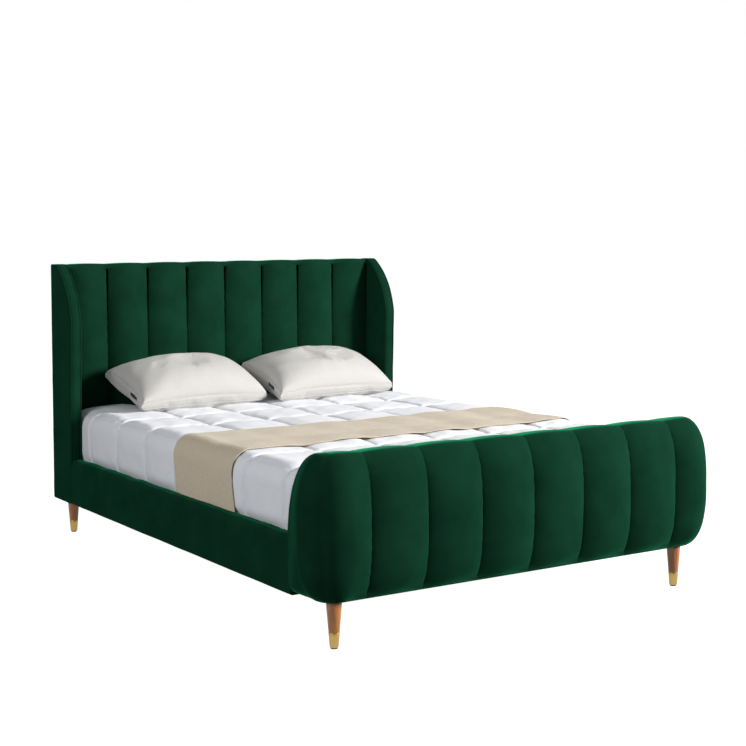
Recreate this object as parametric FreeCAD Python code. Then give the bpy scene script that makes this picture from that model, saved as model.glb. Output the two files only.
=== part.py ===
"""Upholstered wingback bed with a channel-tufted headboard and footboard, and its bedding.

Millimetres. X runs across the bed, +Y points from the foot to the head, and +Z is up.
The origin is on the floor, under the middle of the bed's outer box. Places along the bed
are written as a distance from the headboard's back face, which stands against the wall;
the function along() turns such a distance into Y.
"""
import FreeCAD
import Part
import math
import os

os.makedirs("parts", exist_ok=True)

# ---- Mattress and bedding
mattress_width = 1524.0
mattress_length = 2032.0
mattress_height = 260.0
mattress_corner = 45.0
comforter_top = 34.0          # loft of the quilt where it lies on the mattress
comforter_side = 19.0         # loft of the quilt where it hangs down the sides
comforter_end = 14.0          # the same at the foot end, where it is pressed flat
comforter_tuck = 40.0         # how far the quilt goes down below the rail's top
runner_width = 500.0          # along the bed
runner_thick = 2.4
runner_from_foot = 713.0      # from the mattress's foot end to the runner's middle
pillow_width = 640.0
pillow_depth = 370.0
pillow_thick = 160.0
pillow_round = 62.0
pillow_tilt = 23.0            # degrees, back edge up
pillow_side_rooms = (462.0, 342.0)   # from each side of the mattress to a pillow's middle
pillow_gap = 3.0              # between a pillow and the crests of the headboard
cloth_gap = 0.4               # between two soft pieces, and between soft and hard ones
slide_gap = 3.6               # between the hanging quilt and the rail

# ---- Heights
underside = 158.0             # lowest edge of the upholstery
rail_top = 355.0
slat_top = 265.0
head_height = 1208.0
foot_height = 647.0

# ---- Headboard, from the wall forward
head_cover = 3.0
head_timber = 32.0
head_ply = 9.0
head_pad = 37.0
channel_count = 8
head_seam_depth = 20.0        # how far the seams lie behind the crest of a channel
head_wrap = 18.0              # upholstery over the headboard's top edge
head_pad_bottom = 250.0
head_gap = 4.0                # between the headboard and the mattress

# ---- Wings
wing_thick = 50.0
wing_core = 18.0
wing_foot_depth = 207.0       # depth at the underside
wing_deep = 236.0             # greatest depth, where the front edge starts to sweep back
wing_deep_height = 950.0
wing_sweep = (187.0, 1085.0)  # a point on the sweep, as depth and height
wing_top_depth = 62.0
wing_edge_round = 9.0

# ---- Side rails
rail_thick = 60.0
rail_board = 25.0
rail_board_low = 184.0
rail_pad_top = 14.0           # upholstery over the board's top edge
rail_round = 14.0

# ---- Footboard
foot_cover = 3.0
foot_ply = 12.0
foot_core = 145.0             # depth of the hollow timber core
foot_form = 6.0               # thin board that backs the front pads
foot_bulge = 93.0             # front pad at its fullest
foot_top_step = 27.0          # front pad at the top shoulder
foot_low_step = 35.0          # front pad at the bottom shoulder
foot_bulge_height = 400.0
foot_swell = 45.0             # how far each end stands out beyond the rails
foot_back_overhang = 3.0      # the same, where the end meets the flat back
foot_wrap = 50.0              # upholstery over the core's top, at its front
foot_top_fall = 33.0          # how far the top drops from the front to the flat back
foot_end_wrap = 60.0          # least upholstery beyond the core's ends
foot_end_channel = 218.0      # width of the outermost channels

# ---- Base
ledger_high = 45.0
ledger_thick = 30.0
slat_count = 14
slat_width = 70.0
slat_thick = 20.0
slat_end_gap = 4.0
beam_width = 45.0
beam_height = 65.0
hanger_thick = 3.0
hanger_length = 70.0
centre_leg_radius = 19.0
centre_leg_count = 3
centre_leg_wall = 2.0
foot_pad_radius = 24.0
foot_pad_height = 9.0
stem_radius = 5.0
stem_clearance = 0.1
stem_length = 46.0
nut_height = 22.0
nut_place = 11.0              # underside of the nut, above the floor

# ---- Corner brackets and bolts
bracket_thick = 4.0
bracket_arm = 100.0
bracket_reach = 60.0
bracket_height = 40.0
bolt_radius = 4.0
bolt_clearance = 0.5
bolt_head_radius = 7.0
bolt_head_high = 5.0
bolt_length = 38.0

# ---- Corner legs
leg_top_radius = 27.0
leg_tip_radius = 14.5
ferrule_height = 55.0
ferrule_wall = 1.2
ferrule_proud = 0.6
glide_height = 4.0
glide_radius = 12.0
head_leg_inset = 29.0         # from the inner face of the wing
foot_leg_inset = 30.0         # from the end of the footboard's core
head_leg_place = 36.0         # from the wall
foot_leg_setback = 25.0       # from the front of the footboard's core
leg_plate = 56.0
leg_plate_thick = 3.0
leg_bolt_bury = 30.0          # how far a bolt goes down into its leg
foot_block_high = 27.0
leg_block_width = 56.0
leg_block_depth = 61.0

# ---- Frame timber
post_width = 100.0
timber_high = 60.0
rib_thick = 12.0
screw_radius = 2.5
screw_head_radius = 4.5
screw_head_high = 3.0

# ---- Worked out from the sizes above
rail_inner = mattress_width / 2 + cloth_gap + comforter_side + slide_gap
rail_outer = rail_inner + rail_thick
wing_inner = rail_outer - wing_thick
head_frame_front = head_cover + head_timber
head_ply_front = head_frame_front + head_ply
head_front = head_ply_front + head_pad
mattress_head = head_front + head_gap
mattress_foot = mattress_head + mattress_length
comforter_foot = mattress_foot + cloth_gap + comforter_end
foot_back = comforter_foot + slide_gap
foot_ply_back = foot_back + foot_cover
foot_core_back = foot_ply_back + foot_ply
foot_core_front = foot_core_back + foot_core
foot_form_front = foot_core_front + foot_form
bed_length = foot_form_front + foot_bulge
slat_low = slat_top - slat_thick
ledger_low = slat_low - ledger_high
leg_bolt_length = leg_bolt_bury + ledger_low - underside   # up to the ply's lower edge
mattress_low = slat_top + cloth_gap
mattress_top = mattress_low + mattress_height
comforter_low = mattress_top + cloth_gap
comforter_high = comforter_low + comforter_top
comforter_half = mattress_width / 2 + cloth_gap + comforter_side
foot_half = rail_outer + foot_swell
foot_back_half = rail_outer + foot_back_overhang
foot_core_half = foot_back_half - foot_end_wrap
foot_seam_pitch = 2 * (foot_half - foot_end_channel) / (channel_count - 2)
head_leg_side = wing_inner - head_leg_inset
foot_leg_side = foot_core_half - foot_leg_inset
foot_leg_place = foot_core_front - foot_leg_setback
core_top = foot_height - foot_wrap
base_cover_low = underside + leg_plate_thick
base_cover_high = base_cover_low + foot_cover


def along(distance):
    """Y of a place at this distance from the headboard's back face."""
    return bed_length / 2 - distance


def box(x_low, x_high, near, far, z_low, z_high):
    """A block whose length runs from near to far, as distances from the wall."""
    solid = Part.makeBox(x_high - x_low, far - near, z_high - z_low)
    solid.translate(FreeCAD.Vector(x_low, along(far), z_low))
    return solid


def cylinder(radius, height, x, distance, z, direction=(0, 0, 1)):
    start = FreeCAD.Vector(x, along(distance), z)
    return Part.makeCylinder(radius, height, start, FreeCAD.Vector(*direction))


def cone(radius_low, radius_high, z_low, z_high, x, distance):
    start = FreeCAD.Vector(x, along(distance), z_low)
    return Part.makeCone(radius_low, radius_high, z_high - z_low, start, FreeCAD.Vector(0, 0, 1))


def outline(points, arcs, place):
    """A closed wire. Corner i goes to corner i + 1 in a line, or in an arc through arcs[i]."""
    edges = []
    for index, start in enumerate(points):
        end = points[(index + 1) % len(points)]
        if index in arcs:
            edges.append(Part.Arc(place(start), place(arcs[index]), place(end)).toShape())
        else:
            edges.append(Part.LineSegment(place(start), place(end)).toShape())
    return Part.Wire(edges)


def prism(wire, direction):
    return Part.Face(wire).extrude(FreeCAD.Vector(*direction))


def side_prism(points, arcs, x_low, x_high):
    """A prism across the bed. Its points are (distance from the wall, height)."""
    wire = outline(points, arcs, lambda p: FreeCAD.Vector(x_low, along(p[0]), p[1]))
    return prism(wire, (x_high - x_low, 0, 0))


def plan_prism(points, arcs, z_low, z_high):
    """An upright prism. Its points are (x, distance from the wall)."""
    wire = outline(points, arcs, lambda p: FreeCAD.Vector(p[0], along(p[1]), z_low))
    return prism(wire, (0, 0, z_high - z_low))


def mirrored(shape):
    """The same piece on the other side of the bed."""
    return shape.mirror(FreeCAD.Vector(0, 0, 0), FreeCAD.Vector(1, 0, 0))


def both(shape):
    return [shape, mirrored(shape)]


def save(name, shapes):
    """Write one node. A list of separate solids goes in as a group."""
    shape = Part.makeCompound(shapes) if isinstance(shapes, list) else shapes
    shape.exportStep(os.path.join("parts", name + ".step"))


def save_pair(name, shape):
    """Write a piece of the -X side and its twin on the +X side."""
    save(name + "_left", shape)
    save(name + "_right", mirrored(shape))


def bed_bolt(x, head, z, towards):
    """A bolt along the bed. towards is +1 if it goes to the wall and -1 if it goes to the foot."""
    shank = cylinder(bolt_radius, bolt_length, x, head, z, (0, towards, 0))
    cap = cylinder(bolt_head_radius, bolt_head_high, x, head, z, (0, -towards, 0))
    return shank.fuse(cap)


def bolt_holes(head, towards):
    """Clearance holes for the four bolts of one end of the bed."""
    holes = []
    for x in bolt_columns():
        for z in bolt_rows():
            radius = bolt_radius + bolt_clearance
            holes.append(cylinder(radius, bolt_length + 2, x, head + towards, z, (0, towards, 0)))
    return Part.makeCompound(holes)


def bolt_columns():
    column = rail_inner - ledger_thick - bracket_thick - bracket_reach / 2
    return (-column, column)


def bolt_rows():
    middle = slat_low - bracket_height / 2 - 2
    return (middle - bracket_height / 4, middle + bracket_height / 4)


# ---- Headboard

def head_frame():
    inner = wing_inner - post_width
    post = box(-wing_inner, -inner, head_cover, head_frame_front, base_cover_low, head_height - head_wrap)
    block_x = head_leg_side - leg_block_width / 2
    block_far = head_cover + leg_block_depth
    block = box(-block_x - leg_block_width, -block_x, head_cover, block_far,
                base_cover_low, ledger_low)
    holes = [bolt_holes(head_ply_front + bracket_thick, 1), leg_hole(-head_leg_side, head_leg_place),
             leg_hole(head_leg_side, head_leg_place)]
    post = post.fuse(block).removeSplitter()
    posts = [piece.cut(holes) for piece in both(post)]
    save("head_posts", posts)
    top = head_height - head_wrap
    middle = (base_cover_low + top) / 2
    rails = [box(-inner, inner, head_cover, head_frame_front, low, low + timber_high)
             for low in (base_cover_low, middle - timber_high / 2, top - timber_high)]
    save("head_rails", rails)
    ply = box(-wing_inner, wing_inner, head_frame_front, head_ply_front, ledger_low, top)
    save("head_panel", ply.cut(holes[0]))
    save("head_back_cover", box(-wing_inner, wing_inner, 0, head_cover, underside, top))


def head_channels():
    pitch = 2 * wing_inner / channel_count
    top = head_height - head_wrap
    for number in range(channel_count):
        left = -wing_inner + number * pitch
        right = left + pitch
        seam = head_front - head_seam_depth
        points = [(left, head_ply_front), (left, seam), (right, seam), (right, head_ply_front)]
        pad = plan_prism(points, {1: ((left + right) / 2, head_front)}, head_pad_bottom, head_height)
        wrap = box(left, right, 0, head_ply_front, top, head_height)
        save("head_channel_%d" % (number + 1), pad.fuse(wrap).removeSplitter())


def wing_outline(inset):
    """The wing seen from the side, drawn in from its edge by the inset."""
    points = [(inset, underside + inset), (wing_foot_depth - inset, underside + inset),
              (wing_deep - inset, wing_deep_height), (wing_top_depth - inset / 2, head_height - inset),
              (inset, head_height - inset)]
    bend = (wing_sweep[0] - inset * 0.8, wing_sweep[1] - inset * 0.6)
    return points, {2: bend}


def wings():
    inset = (wing_thick - wing_core) / 2
    core_points, core_arcs = wing_outline(inset)
    core = side_prism(core_points, core_arcs, -rail_outer + inset, -rail_outer + inset + wing_core)
    points, arcs = wing_outline(0.0)
    wing = side_prism(points, arcs, -rail_outer, -wing_inner)
    front_edges = [edge for edge in wing.Edges if is_wing_front(edge)]
    wing = wing.makeFillet(wing_edge_round, front_edges).cut(core)
    save_pair("wing", wing)
    save("wing_cores", both(core))


def is_wing_front(edge):
    """True for the long edges of the wing's front and sweep."""
    box_of = edge.BoundBox
    flat = box_of.XLength < 0.01
    return flat and box_of.YMin < along(wing_top_depth - 1) and box_of.ZLength > 100


# ---- Side rails

def rail_end_depth(height, room):
    """Distance from the wall of the wing's front edge at this height, plus room."""
    share = (height - underside) / (wing_deep_height - underside)
    return wing_foot_depth + share * (wing_deep - wing_foot_depth) + room


def rail_block(x_low, x_high, z_low, z_high, room):
    """A block along the rail whose head end follows the wing's leaning front edge."""
    points = [(rail_end_depth(z_low, room), z_low), (foot_back - cloth_gap, z_low),
              (foot_back - cloth_gap, z_high), (rail_end_depth(z_high, room), z_high)]
    return side_prism(points, {}, x_low, x_high)


def side_rails():
    board_top = rail_top - rail_pad_top
    board = rail_block(-rail_inner - rail_board, -rail_inner, rail_board_low, board_top, 1.0)
    cover = rail_block(-rail_outer, -rail_inner, underside, rail_top, 0.2)
    corners = [edge for edge in cover.Edges if is_rail_corner(edge)]
    cover = cover.makeFillet(rail_round, corners).cut(board)
    save_pair("rail_board", board)
    save_pair("rail_cover", cover)
    near = head_ply_front + 1
    ledger = box(-rail_inner, -rail_inner + ledger_thick, near, foot_back - 1, ledger_low, slat_low)
    pilot_holes = [screw_body(x, place, 0.1) for x, place in slat_screw_places() if x < 0]
    save_pair("ledger", ledger.cut(pilot_holes))


def is_rail_corner(edge):
    """True for the long edges along the rail's outer side, and its inner top edge."""
    box_of = edge.BoundBox
    long = box_of.YLength > 500
    outer = box_of.XMax < -rail_outer + 0.01
    top_edge = box_of.ZMin > rail_top - 0.01
    return long and (outer or top_edge)


# ---- Footboard

def foot_body():
    """The footboard's whole outer form: where its side, front and plan outlines meet."""
    shoulder_top = foot_form_front + foot_top_step
    shoulder_low = foot_form_front + foot_low_step
    profile = side_prism(
        [(foot_ply_back, underside), (foot_form_front + 6, underside), (shoulder_low, underside + 30),
         (shoulder_top, foot_height - 26), (foot_form_front - 2, foot_height),
         (foot_ply_back, foot_height - foot_top_fall)],
        {1: (shoulder_low - 9, underside + 9), 2: (bed_length, foot_bulge_height),
         3: (shoulder_top - 8, foot_height - 8),
         4: ((foot_ply_back + foot_form_front) / 2, foot_height - foot_top_fall / 5)},
        -foot_half, foot_half)
    half = foot_half
    corner = 134.0
    bend = corner * (1 - math.sqrt(0.5))
    back_half = foot_back_half
    plan = plan_prism(
        [(-half + corner, bed_length), (-half, bed_length - corner), (-back_half, foot_ply_back),
         (back_half, foot_ply_back), (half, bed_length - corner), (half - corner, bed_length)],
        {0: (-half + bend, bed_length - bend), 1: (-half + 12, foot_ply_back + 50),
         3: (half - 12, foot_ply_back + 50), 4: (half - bend, bed_length - bend)},
        underside, foot_height)
    front = outline(
        [(-half + 90, foot_height), (-half + 8, 530), (-half + 4, 300), (-half + 110, underside),
         (half - 110, underside), (half - 4, 300), (half - 8, 530), (half - 90, foot_height)],
        {0: (-half + 32, 602), 1: (-half, foot_bulge_height), 2: (-half + 36, 212),
         4: (half - 36, 212), 5: (half, foot_bulge_height), 6: (half - 32, 602)},
        lambda p: FreeCAD.Vector(p[0], along(bed_length), p[1]))
    elevation = prism(front, (0, bed_length - foot_ply_back, 0))
    return profile.common(plan).common(elevation)


def foot_channels():
    """Eight pads, each wrapping over the core's top; the outer two wrap round its ends as well."""
    core = box(-foot_core_half, foot_core_half, foot_ply_back - 1, foot_form_front, underside - 1, core_top)
    body = foot_body().cut(core)
    seams = [(number - channel_count / 2) * foot_seam_pitch for number in range(channel_count + 1)]
    seams[0] = -2 * foot_half
    seams[-1] = 2 * foot_half
    for number in range(channel_count):
        slot = box(seams[number], seams[number + 1], foot_back, bed_length + 10,
                   underside - 1, foot_height + 1)
        save("foot_channel_%d" % (number + 1), body.common(slot))


def foot_frame():
    half = foot_core_half
    ply = box(-half, half, foot_ply_back, foot_core_back, base_cover_high, core_top)
    holes = bolt_holes(foot_back - bracket_thick, -1)
    save("foot_panel", ply.cut(holes))
    save("foot_form", box(-half, half, foot_core_front, foot_form_front, base_cover_high, core_top))
    post_inner = half - post_width
    post = box(-half, -post_inner, foot_core_back, foot_core_back + 40, base_cover_high, core_top)
    block_x = foot_leg_side - leg_block_width / 2
    block = box(-block_x - leg_block_width, -block_x, foot_core_back, foot_core_front,
                base_cover_high, base_cover_high + foot_block_high)
    drill = [holes, leg_hole(-foot_leg_side, foot_leg_place), leg_hole(foot_leg_side, foot_leg_place)]
    post = post.fuse(block).removeSplitter()
    save("foot_posts", [piece.cut(drill) for piece in both(post)])
    rails = []
    for low in (base_cover_high, core_top - timber_high):
        for near in (foot_core_back, foot_core_front - head_timber):
            rails.append(box(-post_inner, post_inner, near, near + head_timber, low, low + timber_high))
    save("foot_rails", rails)
    ribs = []
    rail_room = head_timber
    for number in range(1, channel_count):
        x = (number - channel_count / 2) * foot_seam_pitch
        if abs(x) + rib_thick < post_inner:
            near = foot_core_back + rail_room
            far = foot_core_front - rail_room
            ribs.append(box(x - rib_thick / 2, x + rib_thick / 2, near, far, base_cover_high, core_top))
    save("foot_ribs", ribs)
    base = box(-half, half, foot_ply_back, foot_form_front, base_cover_low, base_cover_high)
    save("foot_base_cover", base.cut([leg_hole(x, foot_leg_place) for x in (-foot_leg_side, foot_leg_side)]))


def foot_back_cover():
    """The flat velvet skin that faces the mattress, cut to the footboard's own outline."""
    skin = foot_body().common(box(-2 * foot_half, 2 * foot_half, foot_ply_back, foot_ply_back + foot_cover,
                                  underside, foot_height))
    skin.translate(FreeCAD.Vector(0, foot_cover, 0))
    save("foot_back_cover", skin.cut(bolt_holes(foot_back - bracket_thick, -1)))


# ---- Base

def slat_places():
    first = mattress_head + slat_width
    last = mattress_foot - slat_width
    step = (last - first) / (slat_count - 1)
    return [first + number * step for number in range(slat_count)]


def slat_screw_places():
    x = rail_inner - ledger_thick / 2
    return [(side * x, place) for place in slat_places() for side in (-1, 1)]


def screw_body(x, distance, room):
    """A countersunk wood screw whose head is flush with the slat's top."""
    shank = cylinder(screw_radius + room, slat_thick + 18, x, distance, slat_top - slat_thick - 18)
    head = cone(screw_radius + room, screw_head_radius + room, slat_top - screw_head_high, slat_top,
                x, distance)
    return shank.fuse(head)


def slats():
    half = rail_inner - slat_end_gap
    group = []
    for place in slat_places():
        slat = box(-half, half, place - slat_width / 2, place + slat_width / 2, slat_low, slat_top)
        holes = [screw_body(x, place, 0.1) for x in (-half - slat_end_gap + ledger_thick / 2,
                                                     half + slat_end_gap - ledger_thick / 2)]
        group.append(slat.cut(holes))
    save("slats", group)
    save("slat_screws", [screw_body(x, place, 0.0) for x, place in slat_screw_places()])


def centre_beam():
    near = head_ply_front + hanger_thick
    far = foot_back - hanger_thick
    low = slat_low - beam_height
    beam = box(-beam_width / 2, beam_width / 2, near, far, low, slat_low)
    save("centre_beam", beam)
    save("beam_hangers", [beam_hanger(head_ply_front, 1), beam_hanger(foot_back, -1)])


def beam_hanger(face, step):
    """A steel saddle, open at the top, that carries one end of the centre beam."""
    half = beam_width / 2
    low = slat_low - beam_height
    ends = sorted((face, face + step * hanger_length))
    shell = box(-half - hanger_thick, half + hanger_thick, ends[0], ends[1], low - hanger_thick, slat_low - 8)
    hollow = sorted((face + step * hanger_thick, face + step * (hanger_length + 1)))
    return shell.cut(box(-half, half, hollow[0], hollow[1], low, slat_low))


def centre_leg_places():
    step = (foot_back - head_ply_front) / (centre_leg_count + 1)
    return [head_ply_front + (number + 1) * step for number in range(centre_leg_count)]


def centre_legs():
    top = slat_low - beam_height
    legs = []
    for number, place in enumerate(centre_leg_places()):
        tube = cylinder(centre_leg_radius, top - nut_place, 0, place, nut_place)
        bore = cylinder(centre_leg_radius - centre_leg_wall, top - nut_place - nut_height, 0, place,
                        nut_place + nut_height)
        stem_bore = cylinder(stem_radius + stem_clearance, nut_height + 2, 0, place, nut_place - 1)
        flange = cylinder(centre_leg_radius + 10, 3.0, 0, place, top - 3.0)
        legs.append(tube.fuse(flange).cut(bore).cut(stem_bore))
        pad = cylinder(foot_pad_radius, foot_pad_height, 0, place, 0)
        stem = cylinder(stem_radius, stem_length, 0, place, foot_pad_height)
        save("levelling_foot_%d" % (number + 1), pad.fuse(stem))
    save("centre_legs", legs)


def corner_brackets():
    group = []
    bolts = []
    side = rail_inner - ledger_thick
    low = slat_low - bracket_height - 2
    for face, step in ((head_ply_front, 1), (foot_back, -1)):
        flange = sorted((face, face + step * bracket_thick))
        arm = sorted((face, face + step * bracket_arm))
        plate = box(-side, -side + bracket_thick + bracket_reach, flange[0], flange[1],
                    low, low + bracket_height)
        strap = box(-side, -side + bracket_thick, arm[0], arm[1], low, low + bracket_height)
        head = face + step * bracket_thick
        for piece in both(plate.fuse(strap).removeSplitter()):
            group.append(piece.cut(bolt_holes(head, step)))
        for x in bolt_columns():
            for z in bolt_rows():
                bolts.append(bed_bolt(x, head, z, step))
    save("corner_brackets", group)
    save("bed_bolts", bolts)


# ---- Corner legs

def leg_radius(height):
    """Radius of the tapered leg at this height above the floor."""
    return leg_tip_radius + (leg_top_radius - leg_tip_radius) * height / underside


def leg_hole(x, distance):
    """Bore for a leg bolt, from the leg's head up into its block."""
    return cylinder(bolt_radius + 0.1, leg_bolt_length + 2, x, distance, underside - leg_bolt_bury - 1)


def leg_spots():
    return [("back_left", -head_leg_side, head_leg_place), ("back_right", head_leg_side, head_leg_place),
            ("front_left", -foot_leg_side, foot_leg_place), ("front_right", foot_leg_side, foot_leg_place)]


def corner_legs():
    ferrules = []
    glides = []
    plates = []
    bolts = []
    for name, x, place in leg_spots():
        hole = leg_hole(x, place)
        shaft = cone(leg_radius(ferrule_height), leg_top_radius, ferrule_height, underside, x, place)
        inner_low = leg_radius(glide_height) - ferrule_wall
        inner_high = leg_radius(ferrule_height) - ferrule_wall
        spigot = cone(inner_low, inner_high, glide_height + ferrule_wall, ferrule_height, x, place)
        save("leg_" + name, shaft.fuse(spigot).cut(hole))
        sleeve = cone(leg_radius(glide_height) + ferrule_proud, leg_radius(ferrule_height) + ferrule_proud,
                      glide_height, ferrule_height, x, place)
        ferrules.append(sleeve.cut(spigot))
        glides.append(cylinder(glide_radius, glide_height, x, place, 0))
        half = leg_plate / 2
        plate = box(x - half, x + half, place - half, place + half, underside, base_cover_low)
        if place == head_leg_place:
            plate = box(x - half, x + half, head_cover, place + half, underside, base_cover_low)
        plates.append(plate.cut(hole))
        bolts.append(cylinder(bolt_radius, leg_bolt_length, x, place, underside - leg_bolt_bury))
    save("leg_ferrules", ferrules)
    save("leg_glides", glides)
    save("leg_plates", plates)
    save("leg_bolts", bolts)


# ---- Bedding

def mattress():
    half = mattress_width / 2
    block = box(-half, half, mattress_head, mattress_foot, mattress_low, mattress_top)
    upright = [edge for edge in block.Edges if edge.BoundBox.ZLength > mattress_height / 2]
    save("mattress", block.makeFillet(mattress_corner, upright))


def comforter():
    """The quilt: a top with two sides and a foot end that hang into the frame."""
    low = rail_top - comforter_tuck
    outer = box(-comforter_half, comforter_half, mattress_head, comforter_foot, low, comforter_high)
    half = mattress_width / 2 + cloth_gap
    hollow = box(-half, half, mattress_head - 1, mattress_foot + cloth_gap, low - 1, comforter_low)
    long_edges = [edge for edge in outer.Edges if is_quilt_shoulder(edge)]
    rounded = outer.makeFillet(comforter_side - 2, long_edges)
    save("comforter", rounded.cut(hollow))


def is_quilt_shoulder(edge):
    """True for the top edges along the quilt's sides."""
    box_of = edge.BoundBox
    return box_of.YLength > mattress_length / 2 and box_of.ZMin > comforter_high - 0.01


def runner():
    """A woven band over the quilt, down each side to the rail."""
    middle = mattress_foot - runner_from_foot
    near = middle - runner_width / 2
    far = middle + runner_width / 2
    low = rail_top + 2.0
    inner_half = comforter_half + cloth_gap
    inner_top = comforter_high + cloth_gap
    outer_half = inner_half + runner_thick
    outer = box(-outer_half, outer_half, near, far, low, inner_top + runner_thick)
    inner = box(-inner_half, inner_half, near - 1, far + 1, low - 1, inner_top)
    save("runner", outer.cut(inner))


def pillows():
    for name, side, room in zip(("left", "right"), (-1, 1), pillow_side_rooms):
        middle = side * (mattress_width / 2 - room)
        block = Part.makeBox(pillow_width, pillow_depth, pillow_thick)
        block = block.makeFillet(pillow_round, block.Edges)
        block.rotate(FreeCAD.Vector(0, 0, 0), FreeCAD.Vector(1, 0, 0), pillow_tilt)
        low = comforter_high + cloth_gap - block.BoundBox.ZMin
        back = along(head_front + pillow_gap) - block.BoundBox.YMax
        block.translate(FreeCAD.Vector(middle - pillow_width / 2, back, low))
        save("pillow_" + name, block)


head_frame()
head_channels()
wings()
side_rails()
foot_channels()
foot_frame()
foot_back_cover()
slats()
centre_beam()
centre_legs()
corner_brackets()
corner_legs()
mattress()
comforter()
runner()
pillows()
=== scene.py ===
"""Channel-tufted velvet bed with mattress, quilt, runner and pillows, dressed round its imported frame."""

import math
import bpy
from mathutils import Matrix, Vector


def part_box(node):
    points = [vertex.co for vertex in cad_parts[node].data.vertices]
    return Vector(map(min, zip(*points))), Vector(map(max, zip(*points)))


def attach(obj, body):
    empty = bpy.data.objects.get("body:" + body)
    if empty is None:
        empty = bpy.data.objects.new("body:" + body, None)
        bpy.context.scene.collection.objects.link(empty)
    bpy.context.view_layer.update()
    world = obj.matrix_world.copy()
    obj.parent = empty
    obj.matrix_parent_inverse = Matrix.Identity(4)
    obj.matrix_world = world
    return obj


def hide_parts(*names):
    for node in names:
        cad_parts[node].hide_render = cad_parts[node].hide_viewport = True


bl_info = {
    "name": "Channel Velvet Bed",
    "version": (1, 0, 0),
    "blender": (4, 5, 0),
    "location": "3D View > Sidebar > Bed",
    "description": "Upholstered bed with a fluted headboard and a rolled footboard, dressed with bedding",
    "category": "Add Mesh",
}

import bmesh
import bpy
import numpy as np
from mathutils import Matrix, Vector

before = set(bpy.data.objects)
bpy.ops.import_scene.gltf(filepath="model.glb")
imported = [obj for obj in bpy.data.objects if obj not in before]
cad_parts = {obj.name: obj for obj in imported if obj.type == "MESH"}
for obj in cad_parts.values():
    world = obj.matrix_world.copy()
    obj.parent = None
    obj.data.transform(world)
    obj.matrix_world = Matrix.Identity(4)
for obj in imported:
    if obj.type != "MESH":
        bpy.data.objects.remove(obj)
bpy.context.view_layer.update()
WALL_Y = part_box("head_back_cover")[1].y
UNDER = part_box("wing_left")[0].z
SIDES = (("left", -1), ("right", 1))
FINISHES = {}
CAMERA_PLACE, CAMERA_ANGLES = (-3.2566, -5.1642, 1.3858), (-32.98, 2.965, -0.22)


# ---- Arrays and meshes


def smooth(low, high, value):
    """Cubic step from 0 at low to 1 at high."""
    t = np.clip((value - low) / (high - low), 0, 1)
    return t * t * (3 - 2 * t)


def ripple(u, v, seed, wavelength, waves=14):
    """Sum of plane waves in seeded directions, of wavelengths near the one given, mostly within -1..1."""
    draw = np.random.default_rng(seed)
    turn = draw.uniform(0, 2 * np.pi, waves)
    size = 2 * np.pi / (wavelength * draw.uniform(0.6, 1.7, waves))
    phase = draw.uniform(0, 2 * np.pi, waves)
    u, v = np.broadcast_arrays(u, v)
    total = np.sin(
        u[..., None] * (size * np.cos(turn)) + v[..., None] * (size * np.sin(turn)) + phase
    )
    return total.sum(-1) / math.sqrt(waves)


def pulls(along, gap, seed, amount):
    """Small puckers beside a seam: a wavering sine along the seam that dies away with the gap from it."""
    draw = np.random.default_rng(seed)
    turn = 2 * np.pi * along / 0.048 + draw.uniform(0, 6)
    wave = np.sin(turn + 1.7 * np.sin(19 * along + draw.uniform(0, 6)))
    slow = 0.5 + 0.5 * np.sin(7.3 * along + draw.uniform(0, 6))
    return amount * wave * slow * np.exp(-gap / 0.026)


def puff(t):
    """Height of a stuffed channel, 0 at its seams (t = -1, 1) and 1 at its middle: (1 - t^2)^0.9."""
    return np.clip(1 - t**2, 0, 1) ** 0.9


def resample(points, count):
    """Closed outline spaced evenly by its running length."""
    ring = np.vstack([points, points[:1]])
    run = np.concatenate([[0], np.cumsum(np.linalg.norm(np.diff(ring, axis=0), axis=1))])
    at = np.linspace(0, run[-1], count, endpoint=False)
    return np.stack([np.interp(at, run, ring[:, k]) for k in range(2)], -1)


def rounded_outline(corners, radii, count):
    """Closed polygon whose corners are arcs tangent to both sides, run anticlockwise and evenly spaced."""
    c, r = np.array(corners, float), np.array(radii, float)[:, None]
    before, after = c - np.roll(c, 1, 0), np.roll(c, -1, 0) - c
    before /= np.linalg.norm(before, axis=1, keepdims=True)
    after /= np.linalg.norm(after, axis=1, keepdims=True)
    turn = np.arccos(np.clip((before * after).sum(1, keepdims=True), -1, 1))
    cut = r * np.tan(turn / 2)
    inward = after - before
    inward /= np.linalg.norm(inward, axis=1, keepdims=True)
    centre = c + inward * r / np.cos(turn / 2)
    start, end = c - before * cut - centre, c + after * cut - centre
    t = np.linspace(0, 1, 9)
    turn = turn[..., None]
    arc = (np.sin((1 - t) * turn) * start[..., None] + np.sin(t * turn) * end[..., None]) / np.sin(turn)
    return resample((centre[..., None] + arc).transpose(0, 2, 1).reshape(-1, 2), count)


def outward(ring):
    """Outward normals of an anticlockwise closed outline, from its central differences."""
    run = np.roll(ring, -1, 0) - np.roll(ring, 1, 0)
    normal = np.stack([run[:, 1], -run[:, 0]], -1)
    return normal / np.linalg.norm(normal, axis=1, keepdims=True)


def grid_faces(rows, columns, wrap_rows, wrap_columns):
    """Quads of a grid of points, closed on itself along rows or columns where asked."""
    i = np.arange(rows if wrap_rows else rows - 1)[:, None]
    j = np.arange(columns if wrap_columns else columns - 1)[None, :]
    near, far = i * columns, (i + 1) % rows * columns
    step = (j + 1) % columns
    return np.stack([near + j, far + j, far + step, near + step], -1).reshape(-1, 4)


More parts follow.
